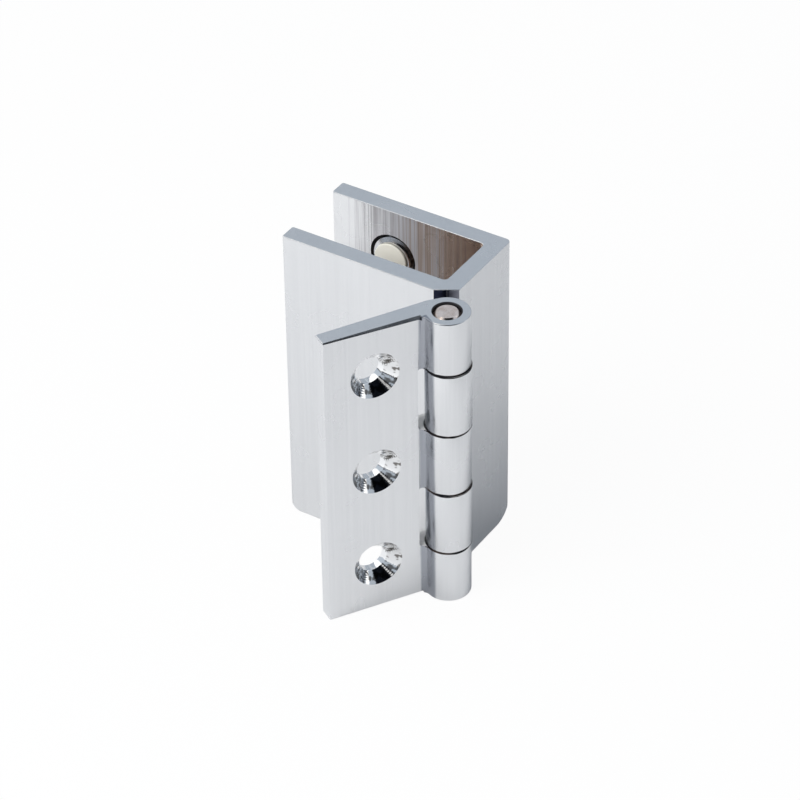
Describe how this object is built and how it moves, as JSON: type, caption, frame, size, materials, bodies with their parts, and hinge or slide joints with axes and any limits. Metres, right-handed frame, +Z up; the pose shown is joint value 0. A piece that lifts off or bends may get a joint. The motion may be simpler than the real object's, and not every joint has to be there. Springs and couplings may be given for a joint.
{
  "type": "glass door hinge",
  "caption": "Glass door hinge: a U-shaped channel leaf grips the edge of a glass panel with tipped grub screws and swings on a pin against a flat leaf with countersunk screw holes.",
  "frame": {"origin": "centre of the middle screw hole, on the back face of the fixing leaf", "axes": "+Z up along the pin; +Y out of the fixing leaf's back face, towards what it is screwed to; the fixing leaf lies along X with the pin on its +X side"},
  "size_m": [0.0418, 0.047, 0.06],
  "materials": {
    "chrome_plate": "satin chrome plate on drawn brass, with fine drawing lines along the height; the countersinks are bright",
    "pin_steel": "turned pin with chamfered, lightly tarnished ends",
    "screw_steel": "bright plated steel",
    "tip_nylon": "cream nylon"
  },
  "bodies": {
    "fixing_side": {"fixing_leaf": "chrome_plate", "hinge_pin": "pin_steel"},
    "channel_side": {"channel_leaf": "chrome_plate"},
    "tip_upper": {"screw_tip_upper": "tip_nylon"},
    "screw_upper": {"clamp_screw_upper": "screw_steel"},
    "tip_lower": {"screw_tip_lower": "tip_nylon"},
    "screw_lower": {"clamp_screw_lower": "screw_steel"}
  },
  "joints": [
    {"name": "leaf_swing", "type": "hinge", "parent": "fixing_side", "child": "channel_side", "pos_m": [0.0134, -0.00445, 0], "axis": [0, 0, 1], "range_deg": [-216, 53]},
    {"name": "clamp_feed_upper", "type": "slide", "parent": "channel_side", "child": "tip_upper", "axis": [-0.8616, -0.5075, 0], "range_m": [-0.00125, 0.00375]},
    {"name": "clamp_turn_upper", "type": "hinge", "parent": "tip_upper", "child": "screw_upper", "pos_m": [0.01879, 0.026, 0.0204], "axis": [-0.8616, -0.5075, 0], "range_deg": [-360, 1080]},
    {"name": "clamp_feed_lower", "type": "slide", "parent": "channel_side", "child": "tip_lower", "axis": [-0.8616, -0.5075, 0], "range_m": [-0.00125, 0.00375]},
    {"name": "clamp_turn_lower", "type": "hinge", "parent": "tip_lower", "child": "screw_lower", "pos_m": [0.01879, 0.026, -0.0204], "axis": [-0.8616, -0.5075, 0], "range_deg": [-360, 1080]}
  ],
  "couplings": [
    {"joint": "clamp_turn_upper", "follows": "clamp_feed_upper", "rad_per_m": 5026.5},
    {"joint": "clamp_turn_lower", "follows": "clamp_feed_lower", "rad_per_m": 5026.5}
  ]
}
